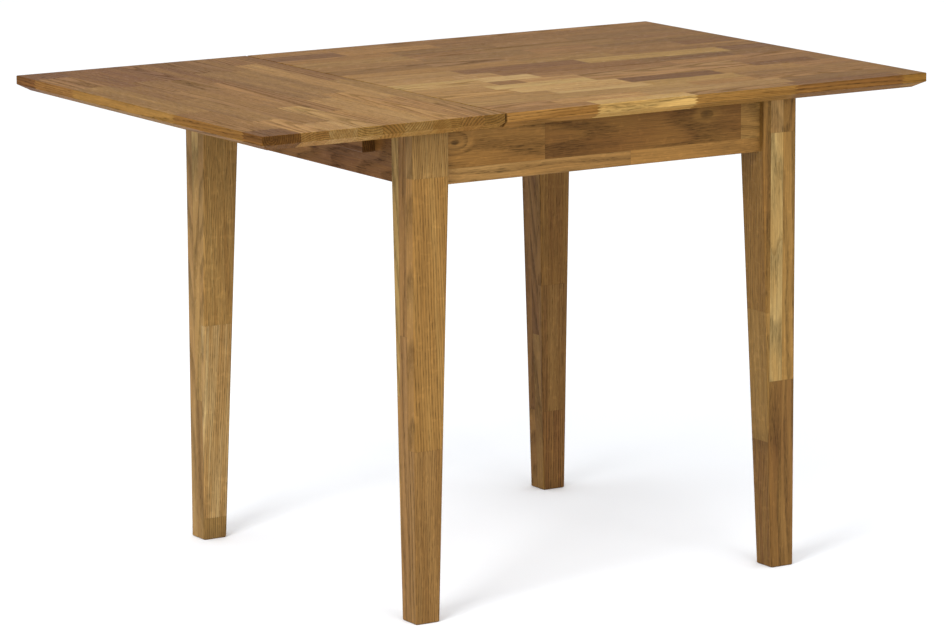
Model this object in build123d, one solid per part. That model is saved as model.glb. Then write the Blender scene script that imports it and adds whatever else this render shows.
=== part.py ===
from build123d import *
import math
import os

os.makedirs("parts", exist_ok=True)

# Drop leaf table in solid oak. Millimetres, +Z up, floor at Z = 0.
# X runs along the length, with the drop leaf at the -X end. Y runs across.
# The part is drawn with the leaf up and the whole top slid out over the frame.
# X = 0 and Y = 0 are the middle of the spread top.

# ---------------------------------------------------------------- driving sizes

# Top: one square main panel and one leaf, with a wide bevel under every outer edge
# and a narrow one under the two edges that meet at the seam.
table_height = 740
top_width = 750
main_length = 750
leaf_length = 398
seam_gap = 2
panel_thickness = 22
panel_edge = 13
bevel_inset = 16
seam_inset = 4
panel_corner = 2.5
panel_foot_corner = 1
panel_arris = 1.2

# Frame: four tapered legs joined by four aprons set back from the leg faces.
top_overhang = 40
slide_travel = 173
leg_top = 60
leg_foot = 40
leg_arris = 3
foot_chamfer = 1.5
leg_corner_flat = 10
apron_height = 81
apron_thickness = 22
apron_inset = 10
apron_arris = 1

# Dowels that hold the aprons to the legs, and the bearers to the end aprons.
dowel_radius = 5
dowel_in_leg = 24
dowel_in_apron = 20
dowel_setback = 14
bearer_dowel_radius = 4
bearer_dowel_in_bearer = 20
bearer_dowel_in_apron = 12

# Corner blocks, each with a hanger bolt, washer and nut, and two screws.
block_reach = 50
block_lift = 3
block_gap = 4
bolt_radius = 4
bolt_in_leg = 22
bolt_spare = 4
washer_radius = 10
washer_thickness = 1.6
nut_across_flats = 13
nut_thickness = 6.5
block_screw_offset = 35
block_screw_in_block = 10

# Slide: grooved bearers fixed in the frame, tongued runners under the main panel.
bearer_height = 38
bearer_thickness = 30
bearer_setback = 20
groove_height = 10
groove_depth = 9
slide_clearance = 0.5
runner_thickness = 24
runner_lift = 1
runner_screws_each = 4
runner_screw_end = 50
runner_screw_sink = 18

# Stop batten under the leaf, which meets the end apron when the top is slid out.
batten_thickness = 21
batten_height = 43
batten_end_gap = 61
batten_arris = 1.5
batten_screws = 3
batten_screw_end = 40
batten_screw_sink = 25

# Flush hinges let into the underside across the seam. The barrel is as large as fits
# between the seam's two bevels, and the other hinge sizes follow from it.
hinge_end_distance = 105
barrel_clearance = 0.25
hinge_length = 60
hinge_reach = 45
hinge_sunk = 0.3
hinge_recess_gap = 0.2
knuckle_count = 3
knuckle_gap = 0.2
knuckle_relief = 0.4
hinge_screws_each = 3
hinge_screw_end = 10
hinge_screw_line = 31

# Wood screws: shank radius, head radius and head height, and depth in the wood.
screw_sizes = (2.25, 4.5, 2.5)
screw_bite = 14
small_screw_sizes = (1.6, 3, 1.5)
small_screw_bite = 11

# Clearances: between fitted round parts, and around loose ones.
fit = 0.03
loose = 0.4

# ---------------------------------------------------------------- derived places

overall_length = leaf_length + seam_gap + main_length
leaf_left = -overall_length / 2
leaf_right = leaf_left + leaf_length
main_left = leaf_right + seam_gap
main_right = main_left + main_length
seam_x = (leaf_right + main_left) / 2

underside = table_height - panel_thickness
bevel_height = panel_thickness - panel_edge
apron_bottom = underside - apron_height

# The frame's own middle is at frame_x. These places are measured from there.
frame_x = (main_left + main_right) / 2 - slide_travel
half_x = main_length / 2 - top_overhang
half_y = top_width / 2 - top_overhang
leg_inside_x = half_x - leg_top
leg_inside_y = half_y - leg_top
inner_x = half_x - apron_inset - apron_thickness
inner_y = half_y - apron_inset - apron_thickness
apron_middle_x = inner_x + apron_thickness / 2
apron_middle_y = inner_y + apron_thickness / 2

# ---------------------------------------------------------------- helpers

at_start = (Align.CENTER, Align.CENTER, Align.MIN)


def box(x0, x1, y0, y1, z0, z1):
    """A block between two corners."""
    middle = ((x0 + x1) / 2, (y0 + y1) / 2, (z0 + z1) / 2)
    return Pos(*middle) * Box(x1 - x0, y1 - y0, z1 - z0)


def rod(radius, start, end):
    """A cylinder from one point to another."""
    line = Vector(*end) - Vector(*start)
    shape = Cylinder(radius, line.length, align=at_start)
    return Plane(origin=start, z_dir=line) * shape


def screw(start, direction, sizes, length, spare=0):
    """A countersunk wood screw whose head's outer face is at start.

    With a spare, it is the hole that such a screw fits.
    """
    shank_radius, head_radius, head_height = sizes
    head = Cone(head_radius + spare, shank_radius + spare, head_height, align=at_start)
    shank = Cylinder(shank_radius + spare, length + spare, align=at_start)
    return Plane(origin=start, z_dir=direction) * (head + shank)


def sink(start, direction, sizes, depth):
    """The wider hole behind a screw head that is set below the surface."""
    back = Vector(*start) - Vector(*direction) * depth
    return rod(sizes[1] + loose, tuple(back), start)


def spread(low, high, count):
    """Evenly spaced places from low to high, both ends included."""
    return [low + (high - low) * i / (count - 1) for i in range(count)]


def cut(solid, tools):
    """The solid with each tool taken away."""
    for tool in tools:
        solid = solid - tool
    return solid


def in_corner(solid, flip_x, flip_y):
    """The solid mirrored into one corner of the frame, still about its own middle."""
    if flip_x:
        solid = mirror(solid, Plane.YZ)
    if flip_y:
        solid = mirror(solid, Plane.XZ)
    return solid


def in_all_corners(solids):
    """Copies of the solids in all four corners of the frame."""
    return [in_corner(s, *flips) for flips in corners.values() for s in solids]


def in_place(solid):
    """Moves a solid from the frame's own middle to its place under the top."""
    return Pos(frame_x, 0, 0) * solid


def save(name, solids):
    """Writes one node: a single solid, or a group of separate ones."""
    shape = solids[0] if len(solids) == 1 else Compound(children=list(solids))
    shape.label = name
    export_step(shape, f"parts/{name}.step")


corners = {
    "front_left": (True, True),
    "front_right": (False, True),
    "rear_left": (True, False),
    "rear_right": (False, False),
}

# ---------------------------------------------------------------- apron dowels


def corner_dowels(spare=0):
    """One corner's dowels: two from each of the aprons that meet its leg."""
    found = []
    inward = dowel_in_apron + spare
    outward = dowel_in_leg + spare
    for z in (apron_bottom + dowel_setback, underside - dowel_setback):
        start = (leg_inside_x - inward, apron_middle_y, z)
        end = (leg_inside_x + outward, apron_middle_y, z)
        found.append(rod(dowel_radius + spare, start, end))
        start = (apron_middle_x, leg_inside_y - inward, z)
        end = (apron_middle_x, leg_inside_y + outward, z)
        found.append(rod(dowel_radius + spare, start, end))
    return found


save("apron_dowels", [in_place(s) for s in in_all_corners(corner_dowels())])
dowel_holes = in_all_corners(corner_dowels(fit))

# ---------------------------------------------------------------- hanger bolts

# Each bolt runs out along the corner's diagonal. Distances along it are measured
# from the flat on the leg's inner corner.
block_bottom = apron_bottom + block_lift
block_height = apron_height - bearer_height - block_lift - block_gap
block_middle = block_bottom + block_height / 2
leg_inside_reach = leg_top - apron_inset - apron_thickness
block_thickness = (leg_corner_flat + block_reach - leg_inside_reach) / math.sqrt(2)
diagonal = Vector(1, 1, 0).normalized()


def along_diagonal(distance):
    """A point on the bolt's line, positive into the leg."""
    flat = Vector(leg_inside_x, leg_inside_y, block_middle)
    flat += Vector(leg_corner_flat / 2, leg_corner_flat / 2, 0)
    return tuple(flat + diagonal * distance)


washer_inner = -block_thickness - washer_thickness
nut_inner = washer_inner - nut_thickness
bolt_end = along_diagonal(nut_inner - bolt_spare)
bolt = rod(bolt_radius, bolt_end, along_diagonal(bolt_in_leg))
washer = rod(
    washer_radius, along_diagonal(washer_inner), along_diagonal(-block_thickness)
)
washer -= rod(bolt_radius + loose, bolt_end, along_diagonal(0))
nut_profile = RegularPolygon(nut_across_flats / 2, 6, major_radius=False)
nut_profile -= Circle(bolt_radius + fit)
nut_plane = Plane(origin=along_diagonal(nut_inner), z_dir=diagonal)
nut = extrude(nut_plane * nut_profile, nut_thickness)

save("hanger_bolts", [in_place(s) for s in in_all_corners([bolt])])
save("bolt_washers", [in_place(s) for s in in_all_corners([washer])])
save("bolt_nuts", [in_place(s) for s in in_all_corners([nut])])

# ---------------------------------------------------------------- corner blocks

block_outline = Polygon(
    (inner_x, leg_inside_y - block_reach),
    (inner_x, leg_inside_y),
    (leg_inside_x + leg_corner_flat, leg_inside_y),
    (leg_inside_x, leg_inside_y + leg_corner_flat),
    (leg_inside_x, inner_y),
    (leg_inside_x - block_reach, inner_y),
    align=None,
)
block = extrude(Pos(0, 0, block_bottom) * block_outline, block_height)
block -= rod(bolt_radius + loose, bolt_end, along_diagonal(1))

# One screw goes into each apron, with its head set below the block's slanted face.
block_screw_length = block_screw_in_block + screw_bite
into_end_apron = (
    (inner_x - block_screw_in_block, leg_inside_y - block_screw_offset, block_middle),
    (1, 0, 0),
)
into_long_apron = (
    (leg_inside_x - block_screw_offset, inner_y - block_screw_in_block, block_middle),
    (0, 1, 0),
)
block_screws = []
block_screw_holes = []
for start, direction in (into_end_apron, into_long_apron):
    place = (start, direction, screw_sizes)
    block_screws.append(screw(*place, block_screw_length))
    block_screw_holes.append(screw(*place, block_screw_length, fit))
    block -= block_screw_holes[-1]
    block -= sink(*place, block_reach / 2)

for name, flips in corners.items():
    save(f"corner_block_{name}", [in_place(in_corner(block, *flips))])
save("block_screws", [in_place(s) for s in in_all_corners(block_screws)])
apron_screw_holes = in_all_corners(block_screw_holes)

# ---------------------------------------------------------------- legs

# The two outer faces are upright. The two inner faces taper from the aprons' lower
# edge down to the foot.


def leg_section(size, height):
    """The square section of a leg, soft at its corners, flush with the outer faces."""
    middle = Pos(half_x - size / 2, half_y - size / 2, height)
    return middle * RectangleRounded(size, size, leg_arris)


leg = loft([leg_section(leg_foot, 0), leg_section(leg_top, apron_bottom)], ruled=True)
leg += extrude(leg_section(leg_top, apron_bottom), apron_height)
leg = chamfer(leg.edges().group_by(Axis.Z)[0], foot_chamfer)

# The inner corner is cut flat beside the corner block, where the bolt goes in.
flat_cut = Polygon(
    (leg_inside_x + leg_corner_flat, leg_inside_y),
    (leg_inside_x, leg_inside_y + leg_corner_flat),
    (leg_inside_x - leg_arris, leg_inside_y - leg_arris),
    align=None,
)
leg -= extrude(Pos(0, 0, apron_bottom) * flat_cut, apron_height)
leg -= rod(bolt_radius + fit, along_diagonal(-1), along_diagonal(bolt_in_leg + fit))
leg = cut(leg, corner_dowels(fit))
for name, flips in corners.items():
    save(f"leg_{name}", [in_place(in_corner(leg, *flips))])

# ---------------------------------------------------------------- slide bearers

bearer_bottom = underside - bearer_height
bearer_outer = leg_inside_y - bearer_setback
bearer_inner = bearer_outer - bearer_thickness
groove_middle = underside - bearer_height / 2
groove_back = bearer_inner + groove_depth
bearer_dowel_y = (groove_back + bearer_outer) / 2


def bearer_dowel(spare=0):
    """A dowel from a bearer's end into the end apron."""
    radius = bearer_dowel_radius + spare
    start = inner_x - bearer_dowel_in_bearer - spare
    end = inner_x + bearer_dowel_in_apron + spare
    place = (bearer_dowel_y, groove_middle)
    return rod(radius, (start, *place), (end, *place))


bearer_dowel_holes = in_all_corners([bearer_dowel(fit)])
save("bearer_dowels", [in_place(s) for s in in_all_corners([bearer_dowel()])])

bearer = box(-inner_x, inner_x, bearer_inner, bearer_outer, bearer_bottom, underside)
bearer -= box(
    -inner_x - 1,
    inner_x + 1,
    bearer_inner - 1,
    groove_back,
    groove_middle - groove_height / 2,
    groove_middle + groove_height / 2,
)
bearer = cut(bearer, [s for s in bearer_dowel_holes if s.center().Y > 0])
save("bearer_rear", [in_place(bearer)])
save("bearer_front", [in_place(in_corner(bearer, False, True))])

# ---------------------------------------------------------------- aprons


def arris(solid, axis):
    """Takes the sharpness off the two lower edges that run along an axis."""
    edges = solid.edges().filter_by(axis).group_by(Axis.Z)[0]
    return chamfer(edges, apron_arris)


long_apron = box(
    -leg_inside_x,
    leg_inside_x,
    inner_y,
    inner_y + apron_thickness,
    apron_bottom,
    underside,
)
long_apron = cut(arris(long_apron, Axis.X), dowel_holes + apron_screw_holes)
save("apron_rear", [in_place(long_apron)])
save("apron_front", [in_place(in_corner(long_apron, False, True))])

end_apron = box(
    inner_x,
    inner_x + apron_thickness,
    -leg_inside_y,
    leg_inside_y,
    apron_bottom,
    underside,
)
end_apron = arris(end_apron, Axis.Y)
end_apron = cut(end_apron, dowel_holes + apron_screw_holes + bearer_dowel_holes)
save("apron_right", [in_place(end_apron)])
save("apron_left", [in_place(in_corner(end_apron, True, False))])

# ---------------------------------------------------------------- slide runners

# A runner is shorter than the bearer by the travel, so its ends meet the end aprons
# and stop the top at both ends of its slide.
runner_right = frame_x + inner_x
runner_left = runner_right - (2 * inner_x - slide_travel)
runner_bottom = bearer_bottom + runner_lift
runner_outer = bearer_inner - slide_clearance
runner_inner = runner_outer - runner_thickness
runner_middle = (runner_inner + runner_outer) / 2
tongue_half = groove_height / 2 - slide_clearance

runner = box(
    runner_left, runner_right, runner_inner, runner_outer, runner_bottom, underside
)
runner += box(
    runner_left,
    runner_right,
    runner_middle,
    groove_back - slide_clearance,
    groove_middle - tongue_half,
    groove_middle + tongue_half,
)

runner_screw_z = runner_bottom + runner_screw_sink
runner_screw_length = underside - runner_screw_z + screw_bite
runner_screws = []
runner_screw_holes = []
screw_line = (runner_left + runner_screw_end, runner_right - runner_screw_end)
for x in spread(*screw_line, runner_screws_each):
    place = ((x, runner_middle, runner_screw_z), (0, 0, 1), screw_sizes)
    runner_screws.append(screw(*place, runner_screw_length))
    runner_screw_holes.append(screw(*place, runner_screw_length, fit))
    runner -= sink(*place, runner_screw_sink + 1)
runner = cut(runner, runner_screw_holes)

save("runner_rear", [runner])
save("runner_front", [mirror(runner, Plane.XZ)])
runner_screws += [mirror(s, Plane.XZ) for s in runner_screws]
runner_screw_holes += [mirror(s, Plane.XZ) for s in runner_screw_holes]
save("runner_screws", runner_screws)

# ---------------------------------------------------------------- stop batten

batten_right = frame_x - half_x + apron_inset
batten_left = batten_right - batten_thickness
batten_half = leg_inside_y - batten_end_gap
batten_bottom = underside - batten_height
batten = box(
    batten_left, batten_right, -batten_half, batten_half, batten_bottom, underside
)
batten = chamfer(batten.edges().group_by(Axis.Z)[0], batten_arris)

batten_screw_z = batten_bottom + batten_screw_sink
batten_screw_length = underside - batten_screw_z + screw_bite
batten_screw_line = batten_half - batten_screw_end
batten_middle = (batten_left + batten_right) / 2
batten_screw_set = []
batten_screw_holes = []
for y in spread(-batten_screw_line, batten_screw_line, batten_screws):
    place = ((batten_middle, y, batten_screw_z), (0, 0, 1), screw_sizes)
    batten_screw_set.append(screw(*place, batten_screw_length))
    batten_screw_holes.append(screw(*place, batten_screw_length, fit))
    batten -= sink(*place, batten_screw_sink + 1)
batten = cut(batten, batten_screw_holes)
save("stop_batten", [batten])
save("batten_screws", batten_screw_set)

# ---------------------------------------------------------------- hinges

# The barrel is the circle that lies in the V of the seam's bevels, a little above
# the underside and clear of both slopes.
seam_half = seam_gap / 2 + seam_inset
seam_slope = math.hypot(bevel_height, seam_inset)
hinge_barrel = (
    seam_half * bevel_height - seam_inset * hinge_sunk - barrel_clearance * seam_slope
) / (seam_slope + seam_inset)
hinge_pin = hinge_barrel / 2
hinge_plate = hinge_barrel * 2 / 3
hinge_bottom = underside + hinge_sunk
hinge_top = hinge_bottom + hinge_plate
hinge_axis_z = hinge_bottom + hinge_barrel
hinge_half = hinge_length / 2
hinge_span = top_width / 2 - hinge_end_distance
knuckle_length = hinge_length / knuckle_count

hinges = {
    "front": -hinge_span,
    "middle": 0,
    "rear": hinge_span,
}


def hinge_leaf(y, side, first_knuckle):
    """One plate of a hinge with every second knuckle, on the side of the seam given."""
    near = hinge_barrel + knuckle_relief
    xs = sorted((seam_x + side * near, seam_x + side * hinge_reach))
    plate = box(*xs, y - hinge_half, y + hinge_half, hinge_bottom, hinge_top)
    for i in range(first_knuckle, knuckle_count, 2):
        low = y - hinge_half + i * knuckle_length + knuckle_gap / 2
        high = low + knuckle_length - knuckle_gap
        web = sorted((seam_x, seam_x + side * (near + 1)))
        plate += box(*web, low, high, hinge_bottom, hinge_top)
        plate += rod(
            hinge_barrel, (seam_x, low, hinge_axis_z), (seam_x, high, hinge_axis_z)
        )
    plate -= pin(y, fit)
    return cut(plate, plate_screws(y, side, fit))


def pin(y, spare=0):
    """The pin of a hinge, or its bore."""
    low = y - hinge_half - spare
    high = y + hinge_half + spare
    start = (seam_x, low, hinge_axis_z)
    return rod(hinge_pin + spare, start, (seam_x, high, hinge_axis_z))


def plate_screws(y, side, spare=0):
    """The screws of one hinge plate, or their holes."""
    x = seam_x + side * hinge_screw_line
    reach = hinge_half - hinge_screw_end
    length = hinge_plate + small_screw_bite
    return [
        screw((x, sy, hinge_bottom), (0, 0, 1), small_screw_sizes, length, spare)
        for sy in spread(y - reach, y + reach, hinge_screws_each)
    ]


def hinge_recess(y, side):
    """The shallow housing that lets one hinge plate into the underside."""
    reach = hinge_reach + hinge_recess_gap
    xs = sorted((seam_x, seam_x + side * reach))
    half = hinge_half + hinge_recess_gap
    return box(*xs, y - half, y + half, underside - 1, hinge_top)


hinge_cuts = {-1: [], 1: []}
hinge_screws = []
for name, y in hinges.items():
    save(f"hinge_{name}_leaf_plate", [hinge_leaf(y, -1, 0)])
    save(f"hinge_{name}_main_plate", [hinge_leaf(y, 1, 1)])
    for side in (-1, 1):
        hinge_screws += plate_screws(y, side)
        hinge_cuts[side].append(hinge_recess(y, side))
        hinge_cuts[side] += plate_screws(y, side, fit)
save("hinge_pins", [pin(y) for y in hinges.values()])
save("hinge_screws", hinge_screws)

# ---------------------------------------------------------------- table top


def panel_section(left, right, inset, corner, height):
    """A level section of a panel between two ends, with its long sides inset."""
    outline = RectangleRounded(right - left, top_width - 2 * inset, corner)
    return Pos((left + right) / 2, 0, height) * outline


def panel(left, right, left_inset, right_inset):
    """A panel with an upright upper edge and a bevel below it, all round."""
    bevel_top = underside + bevel_height
    lower = panel_section(
        left + left_inset, right - right_inset, bevel_inset, panel_foot_corner, underside
    )
    upper = panel_section(left, right, 0, panel_corner, bevel_top)
    solid = loft([lower, upper], ruled=True) + extrude(upper, panel_edge)
    return fillet(solid.edges().group_by(Axis.Z)[-1], panel_arris)


main_panel = panel(main_left, main_right, seam_inset, bevel_inset)
leaf_panel = panel(leaf_left, leaf_right, bevel_inset, seam_inset)
save("main_top", [cut(main_panel, runner_screw_holes + hinge_cuts[1])])
save("leaf", [cut(leaf_panel, batten_screw_holes + hinge_cuts[-1])])
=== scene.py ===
import math

import bpy
import numpy as np
from mathutils import Matrix, Vector


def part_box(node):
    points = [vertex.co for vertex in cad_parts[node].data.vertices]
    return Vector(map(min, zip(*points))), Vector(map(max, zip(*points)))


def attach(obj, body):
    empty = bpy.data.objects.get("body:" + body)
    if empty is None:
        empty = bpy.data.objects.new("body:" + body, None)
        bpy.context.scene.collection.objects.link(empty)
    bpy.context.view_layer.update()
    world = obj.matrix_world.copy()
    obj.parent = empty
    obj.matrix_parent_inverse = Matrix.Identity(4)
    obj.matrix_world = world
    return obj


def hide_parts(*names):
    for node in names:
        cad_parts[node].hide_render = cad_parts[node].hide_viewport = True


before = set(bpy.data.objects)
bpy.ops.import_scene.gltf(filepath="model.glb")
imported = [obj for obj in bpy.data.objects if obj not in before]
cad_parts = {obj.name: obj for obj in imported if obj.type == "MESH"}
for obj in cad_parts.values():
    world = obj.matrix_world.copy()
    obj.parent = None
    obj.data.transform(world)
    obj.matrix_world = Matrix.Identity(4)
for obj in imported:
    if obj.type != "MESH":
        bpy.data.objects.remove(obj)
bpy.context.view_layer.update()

# ---------------------------------------------------------------- legs
# Four square oak legs, each glued up from lamellas that are finger jointed end to
# end. They are planed square at the top, tapered on the two inner faces below the
# aprons, and finished with oil.


def linear(code):
    """A colour from sRGB hex, as linear red, green, blue and alpha."""
    parts = [int(code[i : i + 2], 16) / 255 for i in (0, 2, 4)]
    return [p / 12.92 if p <= 0.04045 else ((p + 0.055) / 1.055) ** 2.4 for p in parts] + [1.0]


def add(tree, kind, inputs=(), **settings):
    """Adds one shader node with its settings, fills or links its inputs, and gives its outputs."""
    made = tree.nodes.new("ShaderNode" + kind)
    for name, value in settings.items():
        setattr(made, name, value)
    pairs = inputs.items() if isinstance(inputs, dict) else enumerate(inputs)
    for key, value in pairs:
        socket = made.inputs[key]
        if isinstance(value, bpy.types.NodeSocket):
            tree.links.new(value, socket)
        else:
            socket.default_value = value
    return made.outputs


def new_material(name):
    """An empty material, its node tree and the shader that ends it."""
    material = bpy.data.materials.new(name)
    material.use_nodes = True
    tree = material.node_tree
    shader = tree.nodes["Principled BSDF"]
    return material, tree, shader


# Oiled oak, planed and sanded. Each stave is a slice of its own log, so its growth
# rings, pores and rays are worked out in depth: they run as straight or cathedral
# grain on the faces and close as arcs on the end grain.
OAK_TONES = [
    (0.00, "543515"),
    (0.20, "65411D"),
    (0.40, "745025"),
    (0.60, "825D2F"),
    (0.80, "916D3C"),
    (1.00, "A38453"),
]


# Finger joints in panels and aprons, and the much finer ones in the legs' lamellas: the
# axis the fingers follow each other along, the width of a finger and its depth.
PANEL_FINGERS = ("z", 4.4, 7.5)
APRON_FINGERS_Y = ("y", 4.4, 7.5)
APRON_FINGERS_X = ("x", 4.4, 7.5)
LEG_FINGERS_X = ("x", 3.2, 1.6)
LEG_FINGERS_Y = ("y", 3.2, 1.6)

# Oil fills the pores and leaves little to mirror the room. The top is rubbed back more.
OILED_SHINE = 0.10
RUBBED_SHINE = 0.04


def oak(
    name, grain, across, glue_lines, seed, tone=(0.3, 0.7), joints=(), spread=0.0, laid=None,
    fingers=PANEL_FINGERS, knots=(), shine=OILED_SHINE, cast=(0.0, 0.0),
):
    """Glued oak staves, all sizes in millimetres.

    Rows of staves lie side by side along the axis across, with glue lines between
    them. In each row staves follow each other along the axis grain. Their ends lie
    near the places in joints, each moved by up to half of spread, and their tones lie
    between the two in tone. A row in laid has its own staves instead, given as pairs
    of a tone and the place where it ends, with None for the last. The ends are finger
    joints: an axis, the width of a finger and its depth. Knots are given by their
    place along, their place across and their radius. The cast is added to the wood's
    share of red and of blue, and shine is how strongly its surface mirrors.
    """
    laid = laid or {}
    material, tree, shader = new_material(name)
    object_place = add(tree, "TexCoord")
    place = add(tree, "VectorMath", {0: object_place["Object"], "Scale": 1000.0}, operation="SCALE")[0]
    split = add(tree, "SeparateXYZ", [place])
    axes = {"x": split[0], "y": split[1], "z": split[2]}
    depth = next(a for a in "xyz" if a not in (grain, across))
    along, side, deep = axes[grain], axes[across], axes[depth]

    # which row a point is in, where the row's middle is, and how near a glue line is
    middles = [glue_lines[0] - 20.0]
    middles += [(a + b) / 2 for a, b in zip(glue_lines, glue_lines[1:])]
    middles += [glue_lines[-1] + 20.0]
    row = 0.0
    middle = middles[0]
    gap = 1000.0
    for number, line in enumerate(glue_lines):
        past = add(tree, "Math", [side, line], operation="SUBTRACT")[0]
        passed = add(tree, "Math", [past, 0.0], operation="GREATER_THAN")[0]
        row = add(tree, "Math", [passed, row], operation="ADD")[0]
        step = middles[number + 1] - middles[number]
        middle = add(tree, "Math", [passed, step, middle], operation="MULTIPLY_ADD")[0]
        near = add(tree, "Math", [past], operation="ABSOLUTE")[0]
        gap = add(tree, "Math", [near, gap], operation="MINIMUM")[0]

    # which stave of the row: every joint passed adds one
    finger_axis, finger_width, finger_depth = fingers
    teeth = add(tree, "Math", [axes[finger_axis], finger_width / 2], operation="PINGPONG")[0]
    slope = finger_depth / (finger_width / 2)
    toothed = add(tree, "Math", [teeth, slope, along], operation="MULTIPLY_ADD")[0]
    toothed = add(tree, "Math", [toothed, finger_depth / 2], operation="SUBTRACT")[0]
    stave = 0.0
    by_chance = 1.0
    laid_tone = 0.0
    for number, staves in laid.items():
        here = add(tree, "Math", [row, float(number), 0.1], operation="COMPARE")[0]
        by_chance = add(tree, "Math", [by_chance, here], operation="SUBTRACT")[0]
        elsewhere = add(tree, "Math", [here, -1000.0, 1000.0], operation="MULTIPLY_ADD")[0]
        laid_tone = add(tree, "Math", [here, staves[0][0], laid_tone], operation="MULTIPLY_ADD")[0]
        for (this_tone, stave_end), (next_tone, _) in zip(staves, staves[1:]):
            past = add(tree, "Math", [toothed, stave_end], operation="SUBTRACT")[0]
            passed = add(tree, "Math", [past, 0.0], operation="GREATER_THAN")[0]
            passed = add(tree, "Math", [passed, here], operation="MULTIPLY")[0]
            stave = add(tree, "Math", [passed, stave], operation="ADD")[0]
            change = next_tone - this_tone
            laid_tone = add(tree, "Math", [passed, change, laid_tone], operation="MULTIPLY_ADD")[0]
            near = add(tree, "Math", [past], operation="ABSOLUTE")[0]
            near = add(tree, "Math", [near, elsewhere], operation="ADD")[0]
            gap = add(tree, "Math", [near, gap], operation="MINIMUM")[0]
    for number, joint in enumerate(joints):
        pair = add(tree, "CombineXYZ", [row, number * 7.3 + seed, 0.0])[0]
        chance = add(tree, "TexWhiteNoise", {"Vector": pair}, noise_dimensions="2D")["Value"]
        stave_end = add(tree, "Math", [chance, spread, joint - spread / 2], operation="MULTIPLY_ADD")[0]
        past = add(tree, "Math", [toothed, stave_end], operation="SUBTRACT")[0]
        passed = add(tree, "Math", [past, 0.0], operation="GREATER_THAN")[0]
        stave = add(tree, "Math", [passed, by_chance, stave], operation="MULTIPLY_ADD")[0]
        near = add(tree, "Math", [past], operation="ABSOLUTE")[0]
        apart = add(tree, "Math", [by_chance, -1000.0, 1000.0], operation="MULTIPLY_ADD")[0]
        near = add(tree, "Math", [near, apart], operation="ADD")[0]
        gap = add(tree, "Math", [near, gap], operation="MINIMUM")[0]

    # six random numbers for each stave
    cell = add(tree, "CombineXYZ", [row, stave, seed + 0.5])[0]
    chances = add(tree, "TexWhiteNoise", {"Vector": cell}, noise_dimensions="3D")
    first = add(tree, "SeparateColor", [chances["Color"]])
    other = add(tree, "VectorMath", [cell, (31.7, 12.9, 5.3)], operation="ADD")[0]
    second = add(tree, "TexWhiteNoise", {"Vector": other}, noise_dimensions="3D")
    second = add(tree, "SeparateColor", [second["Color"]])

    # the pith of the stave's log: a line beside the stave that leans a little
    turn = add(tree, "Math", [first[0], 2 * math.pi], operation="MULTIPLY")[0]
    away = add(tree, "Math", [first[1], 90.0, 26.0], operation="MULTIPLY_ADD")[0]
    cosine = add(tree, "Math", [turn], operation="COSINE")[0]
    sine = add(tree, "Math", [turn], operation="SINE")[0]
    across_pith = add(tree, "Math", [cosine, away, middle], operation="MULTIPLY_ADD")[0]
    face = {"x": 0.0, "y": 0.0, "z": 729.0}[depth]
    deep_pith = add(tree, "Math", [sine, away, face], operation="MULTIPLY_ADD")[0]
    lean = add(tree, "Math", [second[0], 0.09, -0.045], operation="MULTIPLY_ADD")[0]
    jump = add(tree, "VectorMath", {0: chances["Color"], "Scale": 40.0}, operation="SCALE")[0]
    stave_place = add(tree, "CombineXYZ", [along, side, deep])[0]
    slow_place = add(tree, "VectorMath", [stave_place, (1 / 420, 1 / 60, 1 / 60)], operation="MULTIPLY")[0]
    slow_place = add(tree, "VectorMath", [slow_place, jump], operation="ADD")[0]
    wander = add(tree, "TexNoise", {"Vector": slow_place, "Scale": 1.0, "Detail": 2.0})[0]
    u = add(tree, "Math", [side, across_pith], operation="SUBTRACT")[0]
    v = add(tree, "Math", [deep, deep_pith], operation="SUBTRACT")[0]
    v = add(tree, "Math", [along, lean, v], operation="MULTIPLY_ADD")[0]
    polar = add(tree, "CombineXYZ", [u, v, 0.0])[0]
    radius = add(tree, "VectorMath", [polar], operation="LENGTH")["Value"]
    radius = add(tree, "Math", [wander, 11.0, radius], operation="MULTIPLY_ADD")[0]
    angle = add(tree, "Math", [v, u], operation="ARCTAN2")[0]
    around = add(tree, "Math", [angle, away], operation="MULTIPLY")[0]

    # knots push the rings aside and are dark in the middle
    knot_dark = 0.0
    for knot_along, knot_across, knot_radius in knots:
        knot_place = (knot_along, knot_across, 0.0)
        offset = add(tree, "VectorMath", [stave_place, knot_place], operation="SUBTRACT")[0]
        offset = add(tree, "VectorMath", [offset, (0.55, 1.0, 0.0)], operation="MULTIPLY")[0]
        reach = add(tree, "VectorMath", [offset], operation="LENGTH")["Value"]
        swell_reach = knot_radius * 3.5
        swell = add(tree, "MapRange", [reach, 0.0, swell_reach, 1.0, 0.0], interpolation_type="SMOOTHSTEP")[0]
        radius = add(tree, "Math", [swell, knot_radius * 0.9, radius], operation="MULTIPLY_ADD")[0]
        core = add(tree, "MapRange", [reach, 0.0, knot_radius, 1.0, 0.0], interpolation_type="SMOOTHSTEP")[0]
        core = add(tree, "Math", [swell, 0.35, core], operation="MULTIPLY_ADD")[0]
        knot_dark = add(tree, "Math", [core, knot_dark], operation="MAXIMUM")[0]

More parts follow.
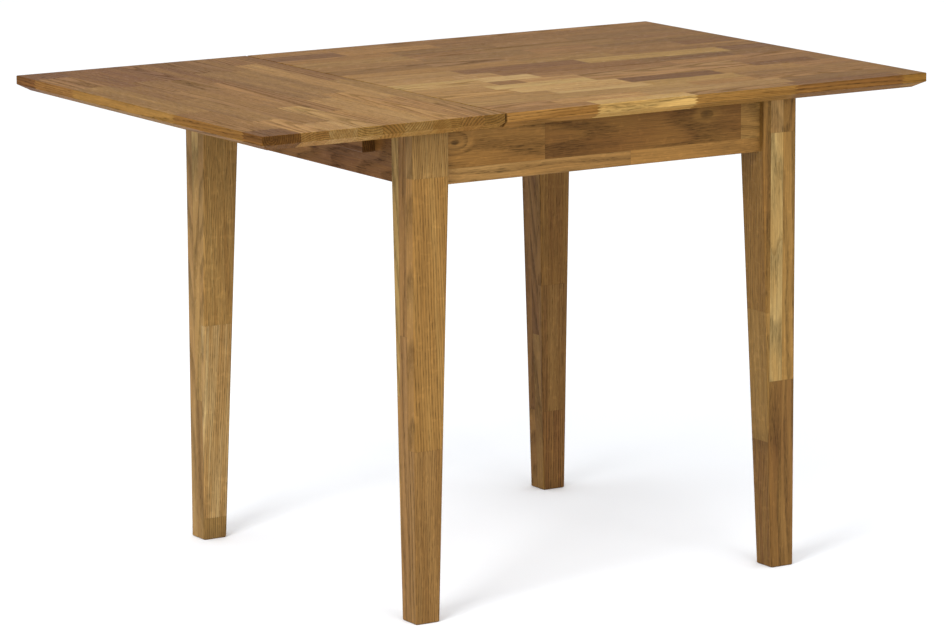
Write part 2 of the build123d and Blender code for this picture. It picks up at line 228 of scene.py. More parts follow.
    # growth rings: open, dark early wood that closes slowly into late wood
    ring = add(tree, "Math", [second[1], 2.6, 2.3], operation="MULTIPLY_ADD")[0]
    rings = add(tree, "Math", [radius, ring], operation="DIVIDE")[0]
    within = add(tree, "Math", [rings], operation="FRACT")[0]
    early = add(tree, "MapRange", [within, 0.0, 0.60, 1.0, 0.0], interpolation_type="SMOOTHSTEP")[0]
    rise = add(tree, "MapRange", [within, 0.84, 1.0, 0.0, 1.0], interpolation_type="SMOOTHSTEP")[0]
    early = add(tree, "Math", [early, rise], operation="MAXIMUM")[0]
    ring_number = add(tree, "Math", [rings], operation="FLOOR")[0]
    ring_pair = add(tree, "CombineXYZ", [ring_number, first[2], 0.0])[0]
    ring_chance = add(tree, "TexWhiteNoise", {"Vector": ring_pair}, noise_dimensions="2D")["Value"]

    # fibres and pores, long along the grain and a little wavy; pores crowd the early wood,
    # and both are drawn two to three times as wide as real ones
    log_place = add(tree, "CombineXYZ", [along, around, radius])[0]
    log_place = add(tree, "VectorMath", [log_place, jump], operation="ADD")[0]
    wave = add(tree, "Math", [wander, 9.0], operation="MULTIPLY")[0]
    wave = add(tree, "CombineXYZ", [0.0, wave, wave])[0]
    wavy_place = add(tree, "VectorMath", [stave_place, wave], operation="ADD")[0]
    wavy_place = add(tree, "VectorMath", [wavy_place, jump], operation="ADD")[0]
    fine_place = add(tree, "VectorMath", [wavy_place, (1 / 80, 1 / 1.7, 1 / 1.7)], operation="MULTIPLY")[0]
    fibres = add(tree, "TexNoise", {"Vector": fine_place, "Scale": 1.0, "Detail": 3.0, "Roughness": 0.7})[0]
    pore_place = add(tree, "VectorMath", [wavy_place, (1 / 16, 1 / 1.0, 1 / 1.0)], operation="MULTIPLY")[0]
    pores = add(tree, "TexNoise", {"Vector": pore_place, "Scale": 1.0, "Detail": 1.0})[0]
    pores = add(tree, "MapRange", [pores, 0.52, 0.64, 0.0, 1.0])[0]
    crowd = add(tree, "Math", [early, 0.85, 0.25], operation="MULTIPLY_ADD")[0]
    pores = add(tree, "Math", [pores, crowd], operation="MULTIPLY")[0]

    # medullary rays: sheets that stand along the radius, drawn thicker than real ones
    ray_place = add(tree, "VectorMath", [log_place, (1 / 11, 1 / 1.1, 1 / 16)], operation="MULTIPLY")[0]
    rays = add(tree, "TexNoise", {"Vector": ray_place, "Scale": 1.0, "Detail": 1.0})[0]
    rays = add(tree, "MapRange", [rays, 0.60, 0.68, 0.0, 1.0], interpolation_type="SMOOTHSTEP")[0]

    # streaks of colour inside a stave, broad and narrow
    band_place = add(tree, "VectorMath", [log_place, (1 / 300, 1 / 14, 1 / 14)], operation="MULTIPLY")[0]
    bands = add(tree, "TexNoise", {"Vector": band_place, "Scale": 1.0, "Detail": 2.0})[0]
    streak_place = add(tree, "VectorMath", [log_place, (1 / 160, 1 / 4.5, 1 / 4.5)], operation="MULTIPLY")[0]
    streaks = add(tree, "TexNoise", {"Vector": streak_place, "Scale": 1.0, "Detail": 1.0})[0]

    # the stave's own tone, from dark heartwood to pale wood near the bark
    low, high = tone
    shade = add(tree, "MapRange", [second[2], 0.0, 1.0, low, high])[0]
    shade = add(tree, "Math", [shade, by_chance, laid_tone], operation="MULTIPLY_ADD")[0]
    shade = add(tree, "Math", [bands, 0.50, shade], operation="MULTIPLY_ADD")[0]
    shade = add(tree, "Math", [streaks, 0.26, shade], operation="MULTIPLY_ADD")[0]
    shade = add(tree, "Math", [ring_chance, 0.10, shade], operation="MULTIPLY_ADD")[0]
    shade = add(tree, "Math", [shade, 0.43], operation="SUBTRACT")[0]
    ramp = tree.nodes.new("ShaderNodeValToRGB")
    stops = ramp.color_ramp.elements
    while len(stops) < len(OAK_TONES):
        stops.new(0.5)
    for stop, (position, code) in zip(stops, OAK_TONES):
        stop.position = position
        stop.color = linear(code)
    tree.links.new(shade, ramp.inputs[0])
    colour = ramp.outputs[0]

    # end grain drinks more oil: it dries darker, and its rings stand out
    facing = add(tree, "SeparateXYZ", [object_place["Normal"]])["XYZ".find(grain.upper())]
    facing = add(tree, "Math", [facing], operation="ABSOLUTE")[0]
    ends = add(tree, "MapRange", [facing, 0.45, 0.85, 0.0, 1.0], interpolation_type="SMOOTHSTEP")[0]

    # what darkens or lightens the wood, as one factor
    ring_depth = add(tree, "Math", [ends, -0.16, -0.30], operation="MULTIPLY_ADD")[0]
    factor = add(tree, "Math", [early, ring_depth, 1.12], operation="MULTIPLY_ADD")[0]
    grain_light = add(tree, "Math", [fibres, 1.30, 0.35], operation="MULTIPLY_ADD")[0]
    factor = add(tree, "Math", [factor, grain_light], operation="MULTIPLY")[0]
    pore_dark = add(tree, "Math", [pores, -0.44, 1.02], operation="MULTIPLY_ADD")[0]
    factor = add(tree, "Math", [factor, pore_dark], operation="MULTIPLY")[0]
    ray_light = add(tree, "Math", [rays, 0.12, 1.0], operation="MULTIPLY_ADD")[0]
    factor = add(tree, "Math", [factor, ray_light], operation="MULTIPLY")[0]
    seam = add(tree, "MapRange", [gap, 0.15, 0.7, 0.84, 1.0])[0]
    factor = add(tree, "Math", [factor, seam], operation="MULTIPLY")[0]
    end_dark = add(tree, "Math", [ends, -0.38, 1.0], operation="MULTIPLY_ADD")[0]
    factor = add(tree, "Math", [factor, end_dark], operation="MULTIPLY")[0]
    knot_shade = add(tree, "Math", [knot_dark, -0.32, 1.0], operation="MULTIPLY_ADD")[0]
    factor = add(tree, "Math", [factor, knot_shade], operation="MULTIPLY")[0]
    warm = add(tree, "Math", [first[0], 0.08, 0.98 + cast[0]], operation="MULTIPLY_ADD")[0]
    cool = add(tree, "Math", [first[1], 0.22, 0.80 + cast[1]], operation="MULTIPLY_ADD")[0]
    warm = add(tree, "Math", [factor, warm], operation="MULTIPLY")[0]
    cool = add(tree, "Math", [factor, cool], operation="MULTIPLY")[0]
    tint = add(tree, "CombineXYZ", [warm, factor, cool])[0]
    tinted = add(tree, "VectorMath", [colour, tint], operation="MULTIPLY")[0]
    tree.links.new(tinted, shader.inputs["Base Color"])

    # satin oil: late wood and rays shine a little, pores and early wood are dull
    rough = add(tree, "Math", [early, 0.10, 0.50], operation="MULTIPLY_ADD")[0]
    rough = add(tree, "Math", [pores, 0.16, rough], operation="MULTIPLY_ADD")[0]
    rough = add(tree, "Math", [rays, -0.07, rough], operation="MULTIPLY_ADD")[0]
    tree.links.new(rough, shader.inputs["Roughness"])
    shader.inputs["Specular IOR Level"].default_value = shine

    # pores and early wood lie below the sanded surface
    height = add(tree, "Math", [pores, -1.0, 1.0], operation="MULTIPLY_ADD")[0]
    height = add(tree, "Math", [early, -0.35, height], operation="MULTIPLY_ADD")[0]
    bump = add(tree, "Bump", {"Strength": 0.35, "Distance": 0.0003, "Height": height})[0]
    tree.links.new(bump, shader.inputs["Normal"])
    return material


def finish_node(name, material):
    """Gives a carried-over part its finish."""
    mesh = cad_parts[name].data
    mesh.materials.clear()
    mesh.materials.append(material)


# Each leg is three lamellas, and the glue lines are measured from its own box.
leg_lamella = 20.0
leg_names = ("leg_front_left", "leg_front_right", "leg_rear_left", "leg_rear_right")
leg_boxes = {name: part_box(name) for name in leg_names}


def lamellas(name, axis):
    """The two glue lines of a leg, in millimetres, for lamellas stacked along an axis."""
    low = leg_boxes[name][0]["xyz".find(axis)] * 1000
    return (low + leg_lamella, low + 2 * leg_lamella)


# The legs' oak is less warm than the top's. The front right leg's lamellas differ in
# width and are stacked along the table, and the other legs' are stacked across it.
leg_cast = (-0.10, 0.12)
front_right_lines = (315.9, 338.3)

# Each stave's tone and the height where it ends, for the rows of each leg.
front_left_staves = {
    0: [(0.48, 255), (0.58, 651), (0.60, None)],
    1: [(0.52, 420), (0.56, None)],
    2: [(0.64, 330), (0.78, None)],
}
front_right_staves = {
    0: [(0.42, 189), (0.56, 394), (0.40, None)],
    1: [(0.36, 288), (0.86, 665), (0.72, None)],
    2: [(0.34, 288), (0.56, 665), (0.44, None)],
}
rear_left_staves = {
    0: [(0.66, 34), (0.84, 340), (0.72, None)],
    1: [(0.64, 220), (0.76, None)],
    2: [(0.66, None)],
}
# The rear right leg's staves are set dark, its upper ones darkest: partly darker wood, partly painted shade
# for the shadow the top casts on this leg.
rear_right_staves_and_shade = {
    0: [(0.30, 131), (0.38, 340), (0.42, None)],
    1: [(0.44, 257), (0.24, None)],
    2: [(0.38, 131), (0.26, None)],
}
leg_oak = {
    "leg_front_left": oak(
        "Oiled oak leg front left", "z", "y", lamellas("leg_front_left", "y"), seed=3,
        fingers=LEG_FINGERS_X, cast=leg_cast, laid=front_left_staves,
    ),
    "leg_front_right": oak(
        "Oiled oak leg front right", "z", "x", front_right_lines, seed=8,
        fingers=LEG_FINGERS_Y, cast=leg_cast, laid=front_right_staves,
    ),
    "leg_rear_left": oak(
        "Oiled oak leg rear left", "z", "y", lamellas("leg_rear_left", "y"), seed=5,
        fingers=LEG_FINGERS_X, cast=leg_cast, laid=rear_left_staves,
    ),
    "leg_rear_right": oak(
        "Oiled oak leg rear right", "z", "y", lamellas("leg_rear_right", "y"), seed=7,
        fingers=LEG_FINGERS_X, cast=leg_cast, laid=rear_right_staves_and_shade,
    ),
}
for name, material in leg_oak.items():
    finish_node(name, material)

# ---------------------------------------------------------------- aprons
# Four oak rails, each glued up from a narrow lower row and a wide upper row of
# staves, dowelled between the legs and set back from their faces.

apron_glue_line = (659.0,)
front_oak = oak(
    "Oiled oak front apron", "x", "z", apron_glue_line, seed=4, fingers=APRON_FINGERS_Y,
    laid={0: [(0.54, 69), (0.56, None)], 1: [(0.50, -80), (0.30, 266), (0.58, None)]},
    knots=((205.0, 702.0, 5.0), (-231.0, 696.0, 6.0)), cast=(-0.06, 0.08),
)
rear_oak = oak(
    "Oiled oak rear apron", "x", "z", apron_glue_line, seed=14,
    tone=(0.3, 0.6), joints=(-60, 190), spread=120.0,
)
# The left apron sits under the leaf and is given dark staves: painted shade for the leaf's shadow over it.
left_apron_oak_painted_shade = oak(
    "Oiled oak left apron with painted shade", "y", "z", apron_glue_line, seed=6, fingers=APRON_FINGERS_X,
    laid={0: [(0.26, 100), (0.34, None)], 1: [(0.28, -54), (0.20, 190), (0.3, None)]},
)
right_oak = oak(
    "Oiled oak right apron", "y", "z", apron_glue_line, seed=16, joints=(-90, 120), spread=120.0,
)
finish_node("apron_front", front_oak)
finish_node("apron_rear", rear_oak)
finish_node("apron_left", left_apron_oak_painted_shade)
finish_node("apron_right", right_oak)

# ---------------------------------------------------------------- inner frame
# Corner blocks, slide bearers and runners, and the stop batten under the leaf. They
# are planed oak from offcuts, out of sight in use.

middle_line = (0.0,)
inner_oak = oak(
    "Planed oak slide parts", "x", "y", middle_line, seed=2, tone=(0.3, 0.6), joints=(40,), spread=200.0,
)
block_oak = oak("Planed oak corner block", "z", "x", middle_line, seed=9)
# The stop batten's staves are set dark: painted shade under the leaf.
batten_oak_painted_shade = oak("Planed oak stop batten with painted shade", "y", "x", middle_line, seed=1, tone=(0.2, 0.3))
for name in ("bearer_front", "bearer_rear", "runner_front", "runner_rear"):
    finish_node(name, inner_oak)
for corner in ("front_left", "front_right", "rear_left", "rear_right"):
    finish_node(f"corner_block_{corner}", block_oak)
finish_node("stop_batten", batten_oak_painted_shade)

# ---------------------------------------------------------------- dowels
# Turned beech dowels, glued into the legs, aprons and bearers. Beech is pale and
# pinkish, with short darker flecks along its grain.

beech, tree, shader = new_material("Turned beech dowel")
place = add(tree, "TexCoord")["Object"]
fleck_place = add(tree, "VectorMath", [place, (160.0, 160.0, 700.0)], operation="MULTIPLY")[0]
flecks = add(tree, "TexNoise", {"Vector": fleck_place, "Scale": 1.0, "Detail": 2.0})[0]
fleck_tone = add(tree, "MapRange", [flecks, 0.45, 0.70, 1.0, 0.82])[0]
fleck_tone = add(tree, "CombineXYZ", [fleck_tone, fleck_tone, fleck_tone])[0]
beech_colour = add(tree, "VectorMath", [linear("BE9A6C")[:3], fleck_tone], operation="MULTIPLY")[0]
tree.links.new(beech_colour, shader.inputs["Base Color"])
beech_rough = add(tree, "MapRange", [flecks, 0.3, 0.7, 0.5, 0.65])[0]
tree.links.new(beech_rough, shader.inputs["Roughness"])
for name in ("apron_dowels", "bearer_dowels"):
    finish_node(name, beech)

# ---------------------------------------------------------------- wood screws
# Zinc plated countersunk wood screws with a cross recess, rolled from wire. They hold
# the corner blocks, the runners, the batten and the hinge plates.


def plated_steel(name, code, roughness, seed):
    """Steel with a dull plated skin: mottled in colour, gloss and height, coarser than real."""
    material, tree, shader = new_material(name)
    place = add(tree, "TexCoord")["Object"]
    mottle = add(tree, "TexNoise", {"Vector": place, "Scale": 900.0 + seed, "Detail": 3.0})[0]
    tint = add(tree, "MapRange", [mottle, 0.3, 0.7, 0.86, 1.04])[0]
    grey = add(tree, "CombineXYZ", [tint, tint, tint])[0]
    colour = add(tree, "VectorMath", [linear(code)[:3], grey], operation="MULTIPLY")[0]
    tree.links.new(colour, shader.inputs["Base Color"])
    rough = add(tree, "MapRange", [mottle, 0.3, 0.7, roughness - 0.06, roughness + 0.1])[0]
    tree.links.new(rough, shader.inputs["Roughness"])
    shader.inputs["Metallic"].default_value = 1.0
    bump = add(tree, "Bump", {"Strength": 0.1, "Distance": 0.0001, "Height": mottle})[0]
    tree.links.new(bump, shader.inputs["Normal"])
    return material


def ridge(turns):
    """A thread's height from 0 to 1 at a number of turns: up and down once in each turn."""
    return np.clip(2.2 - 4.4 * np.abs(turns % 1.0 - 0.5), 0.0, 1.0)


def grid_faces(rows, sides, joined):
    """Quads between the neighbours of a grid that goes round an axis, last row to first if joined."""
    row = np.arange(rows if joined else rows - 1)[:, None]
    side = np.arange(sides)[None, :]
    this_row = row * sides
    next_row = (row + 1) % rows * sides
    after = (side + 1) % sides
    corners = (this_row + side, this_row + after, next_row + after, next_row + side)
    return np.stack(corners, axis=-1).reshape(-1, 4)


def round_axis(radius, height, angle):
    """Points at a radius and an angle round the third axis, and at a height along it."""
    radius, height, angle = np.broadcast_arrays(radius, height, angle)
    grid = (radius * np.cos(angle), radius * np.sin(angle), height)
    return np.stack(grid, axis=-1).reshape(-1, 3)


def wood_screw(shank, head, head_height, length, pitch):
    """One screw along its own third axis, with its head's face at height 0.

    On the face, height is the recess: a cross of two slots that gets shallow at its
    ends. Below it the radius falls along the head's cone to the shank, where it is a
    ridge that climbs one pitch in each turn, and shrinks to a point at the tip.
    """
    sides = 40
    slot_half = 0.13 * head
    slot_reach = 0.66 * head
    slot_run_out = 0.2 * head
    recess_depth = 0.55 * head_height
    thread_depth = 0.24
    angle = np.linspace(0, 2 * np.pi, sides, endpoint=False)[None, :]
    face = np.linspace(0.10, 0.94, 10)[:, None] * head
    from_slot = np.minimum(np.abs(np.cos(angle)), np.abs(np.sin(angle))) * face
    wall = np.clip(1.6 - from_slot / slot_half, 0, 1)
    depth = wall * np.clip((slot_reach - face) / slot_run_out, 0, 1)
    face_points = round_axis(face, depth * recess_depth, angle)
    rim_points = round_axis(head, np.array([0.06, 0.14])[:, None] * head, angle)
    down = np.arange(head_height, length - shank, pitch / 4)[:, None]
    thread = ridge(down / pitch - angle / (2 * np.pi))
    grip = np.clip((down - head_height) / pitch - 1.0, 0, 1)
    shank_points = round_axis(shank * (1 - thread_depth * grip * (1 - thread)), down, angle)
    tip_points = round_axis(shank * 0.7, np.array([[length - shank]]), angle)
    ends = [(0.0, 0.0, recess_depth), (0.0, 0.0, length)]
    points = np.concatenate([face_points, rim_points, shank_points, tip_points, ends])
    rows = (len(points) - 2) // sides
    quads = grid_faces(rows, sides, False).tolist()
    ring = np.arange(sides)
    after = (ring + 1) % sides
    top = np.stack([np.full(sides, rows * sides), after, ring], axis=-1).tolist()
    last = (rows - 1) * sides
    tip = np.stack([np.full(sides, rows * sides + 1), last + ring, last + after], axis=-1).tolist()
    return points, quads + top + tip


def set_out(name, pattern, places, material, body, node):
    """A piece made of copies of a pattern, each at a place in metres and turned to a direction.

    A point's place is the copy's start, plus its three coordinates along two axes
    square to the direction and along the direction itself.
    """
    points, faces = pattern
    all_points = []
    all_faces = []
    for number, (start, direction) in enumerate(places):
        axis = np.array(direction, dtype=float)
        axis /= np.linalg.norm(axis)
        across = np.cross(axis, (0.0, 0.0, 1.0) if abs(axis[2]) < 0.9 else (1.0, 0.0, 0.0))
        across /= np.linalg.norm(across)
        turned = points / 1000 @ np.stack([across, np.cross(axis, across), axis])
        all_points.append(turned + np.array(start))
        all_faces += [[corner + number * len(points) for corner in face] for face in faces]
    mesh = bpy.data.meshes.new(name)
    mesh.from_pydata(np.concatenate(all_points).tolist(), [], all_faces)
    mesh.shade_smooth()
    mesh.set_sharp_from_angle(angle=math.radians(32))
    mesh.materials.append(material)
    piece = bpy.data.objects.new(name, mesh)
    bpy.context.scene.collection.objects.link(piece)
    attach(piece, body)
    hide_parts(node)


zinc = plated_steel("Bright zinc plated steel", "C4C4BE", 0.34, 1.0)
hinge_steel = plated_steel("Satin hinge steel", "A9A79F", 0.38, 2.0)
upward = (0.0, 0.0, 1.0)

# Wood screws are 4.5 mm across the shank and 9 mm across the head.
screw_shank = 2.25
screw_head = 4.5
screw_head_height = 2.5
screw_pitch = 2.2
head_inset = screw_head / 1000

low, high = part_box("runner_screws")
runner_places = [
    ((x, y, low.z), upward)
    for x in np.linspace(low.x + head_inset, high.x - head_inset, 4)
    for y in (low.y + head_inset, high.y - head_inset)
]
long_screw = wood_screw(screw_shank, screw_head, screw_head_height, (high.z - low.z) * 1000, screw_pitch)
set_out("runner_wood_screws", long_screw, runner_places, zinc, "top", "runner_screws")

low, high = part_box("batten_screws")
batten_places = [
    (((low.x + high.x) / 2, y, low.z), upward)
    for y in np.linspace(low.y + head_inset, high.y - head_inset, 3)
]
batten_screw = wood_screw(screw_shank, screw_head, screw_head_height, (high.z - low.z) * 1000, screw_pitch)
set_out("batten_wood_screws", batten_screw, batten_places, zinc, "top", "batten_screws")

# Each corner block has one screw into the end apron and one into the long apron.
block_screw_length = 24.0
block_screw_inset = 0.015
low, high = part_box("block_screws")
block_places = []
for corner in ("front_left", "front_right", "rear_left", "rear_right"):
    block_low, block_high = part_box(f"corner_block_{corner}")
    middle_z = (block_low.z + block_high.z) / 2
    to_right = 1.0 if corner.endswith("right") else -1.0
    to_rear = 1.0 if corner.startswith("rear") else -1.0
    tip_x = high.x if to_right > 0 else low.x
    tip_y = high.y if to_rear > 0 else low.y
    screw_x = block_low.x + block_screw_inset if to_right > 0 else block_high.x - block_screw_inset
    screw_y = block_low.y + block_screw_inset if to_rear > 0 else block_high.y - block_screw_inset
    head_x = tip_x - to_right * block_screw_length / 1000
    head_y = tip_y - to_rear * block_screw_length / 1000
    block_places.append(((head_x, screw_y, middle_z), (to_right, 0.0, 0.0)))
    block_places.append(((screw_x, head_y, middle_z), (0.0, to_rear, 0.0)))
block_screw = wood_screw(screw_shank, screw_head, screw_head_height, block_screw_length, screw_pitch)
set_out("block_wood_screws", block_screw, block_places, zinc, "frame", "block_screws")

# Hinge screws are 3.2 mm across the shank and 6 mm across the head, three to a plate.
small_head = 3.0
small_screw_spread = 0.020
low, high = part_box("hinge_screws")
hinge_places = []
for place in ("front", "middle", "rear"):
    plate_low, plate_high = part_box(f"hinge_{place}_leaf_plate")
    plate_y = (plate_low.y + plate_high.y) / 2
    hinge_places += [
        ((x, y, low.z), upward)
        for x in (low.x + small_head / 1000, high.x - small_head / 1000)
        for y in np.linspace(plate_y - small_screw_spread, plate_y + small_screw_spread, 3)
    ]
small_screw = wood_screw(1.6, small_head, 1.5, (high.z - low.z) * 1000, 1.4)
set_out("hinge_plate_screws", small_screw, hinge_places, hinge_steel, "top", "hinge_screws")

# ---------------------------------------------------------------- corner bolts
# Four zinc plated hanger bolts, each through its corner block on the diagonal, with a
# washer and a nut drawn up on its inner end.


def threaded_rod(radius, length, pitch):
    """A rod whose radius is a ridge that climbs one pitch in each turn, pointed at both ends."""
    sides = 32
    point = 0.4
    thread_depth = 0.14
    angle = np.linspace(0, 2 * np.pi, sides, endpoint=False)[None, :]
    down = np.linspace(point, length - point, int(length / pitch * 4))[:, None]
    thread = ridge(down / pitch - angle / (2 * np.pi))
    ends = np.clip(np.minimum(down, length - down) / pitch, 0.0, 1.0)
    body = round_axis(radius * (1 - thread_depth * (1 - thread * ends)), down, angle)
    points = np.concatenate([body, [(0.0, 0.0, 0.0), (0.0, 0.0, length)]])
    rows = len(down)
    ring = np.arange(sides)
    after = (ring + 1) % sides
    start = np.stack([np.full(sides, rows * sides), after, ring], axis=-1).tolist()
    last = (rows - 1) * sides
    finish = np.stack([np.full(sides, rows * sides + 1), last + ring, last + after], axis=-1).tolist()
    return points, grid_faces(rows, sides, False).tolist() + start + finish


def hexagon_nut(across_flats, bore, thickness):
    """A nut: the radius is the hexagon's, cut back by a cone at both ends, and closed by its bore."""
    sides = 72
    angle = np.linspace(0, 2 * np.pi, sides, endpoint=False)[None, :]
    flat = across_flats / 2
    hexagon = flat / np.cos(angle % (np.pi / 3) - np.pi / 6)
    height = np.array([0.0, 0.04, 0.10, 0.17, 0.83, 0.90, 0.96, 1.0])[:, None] * thickness
    from_end = np.minimum(height, thickness - height)
    outside = round_axis(np.minimum(hexagon, flat * 0.97 + from_end * 1.7), height, angle)
    inside = round_axis(bore, np.array([[thickness], [0.0]]), angle)
    points = np.concatenate([outside, inside])
    return points, grid_faces(len(points) // sides, sides, True).tolist()


def flat_washer(radius, bore, thickness):
    """A ring of rectangular section with its outer edges rounded off."""
    sides = 64
    angle = np.linspace(0, 2 * np.pi, sides, endpoint=False)[None, :]
    turn = np.linspace(-np.pi / 2, np.pi / 2, 7)[:, None]
    edge = thickness * 0.25
    height = np.where(turn < 0, edge, thickness - edge) + edge * np.sin(turn)
    outside = round_axis(radius - edge + edge * np.cos(turn), height, angle)
    inside = round_axis(bore, np.array([[thickness], [0.0]]), angle)
    points = np.concatenate([outside, inside])
    return points, grid_faces(len(points) // sides, sides, True).tolist()


bolt_radius = 4.0
bolt_pitch = 1.25
washer_radius = 10.0
washer_bore = 4.4
washer_thickness = 1.6
nut_across_flats = 13.0
nut_thickness = 6.5


def corner_places(node, reach, diagonals):
    """Where each of a node's four solids starts, on the frame's diagonals, with its direction.

    The node's box ends where its outer solids end, and reach is how far the solid's
    outer end stands inside that, along X and along Y.
    """
    low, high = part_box(node)
    places = []
    for to_right, to_rear in diagonals:
        outer_x = (high.x if to_right > 0 else low.x) - to_right * reach
        outer_y = (high.y if to_rear > 0 else low.y) - to_rear * reach
        places.append(((outer_x, outer_y, (low.z + high.z) / 2), (-to_right, -to_rear, 0.0)))
    return places


diagonals = [(1.0, 1.0), (1.0, -1.0), (-1.0, 1.0), (-1.0, -1.0)]
slant = math.sqrt(0.5)
bolt_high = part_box("hanger_bolts")[1]
nut_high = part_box("bolt_nuts")[1]
washer_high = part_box("bolt_washers")[1]
rod_reach = bolt_radius / 1000 * slant
washer_reach = washer_radius / 1000 * slant
nut_outer_x = washer_high.x - washer_reach - washer_thickness / 1000 * slant
nut_reach = nut_high.x - nut_outer_x
bolt_spare = 4.0
bolt_length = (bolt_high.x - rod_reach - nut_outer_x) / slant * 1000 + nut_thickness + bolt_spare
set_out(
    "corner_bolts", threaded_rod(bolt_radius, bolt_length, bolt_pitch),
    corner_places("hanger_bolts", rod_reach, diagonals), zinc, "frame", "hanger_bolts",
)
set_out(
    "corner_washers", flat_washer(washer_radius, washer_bore, washer_thickness),
    corner_places("bolt_washers", washer_reach, diagonals), zinc, "frame", "bolt_washers",
)
set_out(
    "corner_nuts", hexagon_nut(nut_across_flats, bolt_radius, nut_thickness),
    corner_places("bolt_nuts", nut_reach, diagonals), zinc, "frame", "bolt_nuts",
)

# ---------------------------------------------------------------- hinges
# Three satin steel hinges let into the underside across the seam, each two plates
# with rolled knuckles on one pin.

finish_node("hinge_pins", hinge_steel)
for place in ("front", "middle", "rear"):
    for half in ("leaf", "main"):
        finish_node(f"hinge_{place}_{half}_plate", hinge_steel)

# ---------------------------------------------------------------- main top
# The square main panel: rows of short oak staves along the length, finger jointed at
# their ends, sanded and oiled.


def evened(staves):
    """The same staves with a softer contrast: tones below the middle one move a fifth of the way up."""
    middle_tone = 0.46
    return {
        row: [(tone + max(0.0, middle_tone - tone) / 5, end) for tone, end in pairs]
        for row, pairs in staves.items()
    }


# The glue lines between the rows, from the front, and each row's staves: a tone and the
# place along the row where the stave ends.
main_lines = (-340, -296, -252, -210, -165, -127, -90, -46, 0, 47, 94, 141, 188, 235, 281, 329)
main_staves = {
    0: [(0.50, -18), (0.96, 153), (0.54, 333), (0.28, 530), (0.44, None)],
    1: [(0.58, -60), (0.76, 100), (0.70, 355), (0.34, None)],
    2: [(0.66, 110), (0.76, 215), (0.62, 330), (0.46, None)],
    3: [(0.66, -5), (0.86, 160), (0.74, 330), (0.48, None)],
    4: [(0.72, -45), (0.92, 150), (0.10, 320), (0.66, 470), (0.46, None)],
    5: [(0.70, -60), (0.96, 120), (0.60, 410), (0.18, 530), (0.42, None)],
    6: [(0.74, -30), (0.38, 20), (0.74, 125), (0.56, 410), (0.46, None)],
    7: [(0.86, -30), (0.96, 70), (0.46, 320), (0.54, 460), (0.44, None)],
    8: [(0.74, 30), (0.30, 290), (0.24, 460), (0.34, None)],
    9: [(0.70, -10), (0.22, 215), (0.76, 480), (0.16, None)],
    10: [(0.56, 140), (0.54, 300), (0.42, None)],
    11: [(0.32, 0), (0.42, 130), (0.46, 460), (0.24, None)],
    12: [(0.56, 20), (0.38, 210), (0.50, 330), (0.40, None)],
    13: [(0.60, 20), (0.38, 150), (0.50, 400), (0.38, None)],
    14: [(0.44, -70), (0.52, 20), (0.34, 200), (0.52, 340), (0.36, None)],
    15: [(0.16, -50), (0.58, 125), (0.42, None)],
    16: [(0.50, 60), (0.40, None)],
}
main_oak = oak(
    "Oiled oak main top", "x", "y", main_lines, seed=11,
    shine=RUBBED_SHINE, cast=(-0.02, -0.02), laid=evened(main_staves),
)
finish_node("main_top", main_oak)

# ---------------------------------------------------------------- leaf
# The drop leaf: oak staves that run across the table, so its front and rear edges
# show end grain.

# The glue lines between the rows, from the outer edge, and each row's staves from the
# front.
leaf_lines = (-514, -468, -422, -381, -345, -299, -252, -212)
leaf_staves = {
    0: [(0.04, -320), (0.40, -120), (0.54, 190), (0.44, 312), (0.08, None)],
    1: [(0.64, -240), (0.50, 0), (0.38, 165), (0.20, None)],
    2: [(0.82, -300), (0.44, 80), (0.36, 205), (0.20, None)],
    3: [(0.72, -145), (0.52, 75), (0.36, 190), (0.18, None)],
    4: [(0.58, -215), (0.40, 130), (0.28, None)],
    5: [(0.72, -100), (0.46, 235), (0.26, None)],
    6: [(0.64, -60), (0.50, 225), (0.34, None)],
    7: [(0.56, -145), (0.68, 280), (0.32, None)],
    8: [(0.50, -230), (0.56, 60), (0.30, None)],
}
leaf_oak = oak(
    "Oiled oak leaf", "y", "x", leaf_lines, seed=12,
    shine=RUBBED_SHINE, cast=(-0.02, 0.0), laid=evened(leaf_staves),
)
finish_node("leaf", leaf_oak)

# ---------------------------------------------------------------- floor
# A plain matt white studio floor that runs out past the camera's view.

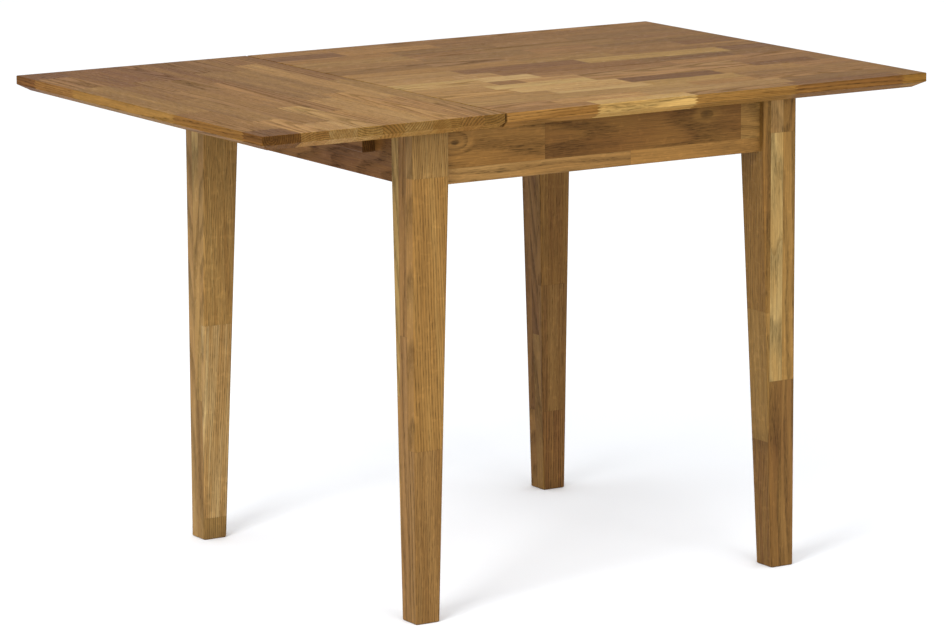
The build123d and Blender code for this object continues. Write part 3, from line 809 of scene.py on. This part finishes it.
floor_half = 40.0
floor_mesh = bpy.data.meshes.new("studio_floor")
floor_corners = [(-1, -1), (1, -1), (1, 1), (-1, 1)]
floor_mesh.from_pydata([(floor_half * x, floor_half * y, 0) for x, y in floor_corners], [], [(0, 1, 2, 3)])
floor = bpy.data.objects.new("studio_floor", floor_mesh)
bpy.context.scene.collection.objects.link(floor)
paint, tree, shader = new_material("Matt white studio paint")
roller = add(tree, "TexNoise", {"Vector": add(tree, "TexCoord")["Object"], "Scale": 220.0, "Detail": 2.0})[0]
rough = add(tree, "MapRange", [roller, 0.3, 0.7, 0.85, 0.95])[0]
tree.links.new(rough, shader.inputs["Roughness"])
shader.inputs["Base Color"].default_value = linear("F8FBFF")
shader.inputs["Specular IOR Level"].default_value = 0.1
floor_mesh.materials.append(paint)

# ---------------------------------------------------------------- light
# A white studio: even light from all round, a large softbox high on the left, and a
# weaker one from the front.

world = bpy.data.worlds.new("studio")
bpy.context.scene.world = world
world.use_nodes = True
world.node_tree.nodes["Background"].inputs["Color"].default_value = (1.0, 1.0, 1.0, 1.0)
world.node_tree.nodes["Background"].inputs["Strength"].default_value = 1.06


def softbox(name, place, aim, size, power):
    """A square area light at a place, turned towards its aim."""
    light = bpy.data.lights.new(name, "AREA")
    light.shape = "SQUARE"
    light.size = size
    light.energy = power
    lamp = bpy.data.objects.new(name, light)
    lamp.location = place
    lamp.rotation_euler = (Vector(aim) - Vector(place)).to_track_quat("-Z", "Y").to_euler()
    bpy.context.scene.collection.objects.link(lamp)


softbox("softbox_left", (-3.4, -1.9, 3.0), (0.0, 0.0, 0.4), 1.6, 110.0)
softbox("softbox_front", (0.2, -4.5, 2.2), (0.0, 0.0, 0.4), 2.5, 60.0)
bpy.context.scene.view_settings.view_transform = "Standard"

# ---------------------------------------------------------------- camera
# A long lens from the front left, a little above the table, looking slightly down.

camera_place = Vector((-3.7386, -5.9468, 1.7073))
turn_right = math.radians(32.168)
tilt_down = math.radians(10.83)
roll = math.radians(0.304)
image_width = 946
focal_length_in_pixels = 4700.9

camera_data = bpy.data.cameras.new("camera")
camera_data.sensor_width = 36.0
camera_data.lens = focal_length_in_pixels * camera_data.sensor_width / image_width
camera_data.clip_end = 200.0
camera = bpy.data.objects.new("camera", camera_data)
ahead = Vector((
    math.sin(turn_right) * math.cos(tilt_down),
    math.cos(turn_right) * math.cos(tilt_down),
    -math.sin(tilt_down),
))
rightward = Vector((math.cos(turn_right), -math.sin(turn_right), 0.0))
downward = ahead.cross(rightward)
level = Matrix((rightward, -downward, -ahead)).transposed()
camera.matrix_world = Matrix.Translation(camera_place) @ (level @ Matrix.Rotation(-roll, 3, "Z")).to_4x4()
bpy.context.scene.collection.objects.link(camera)
bpy.context.scene.camera = camera
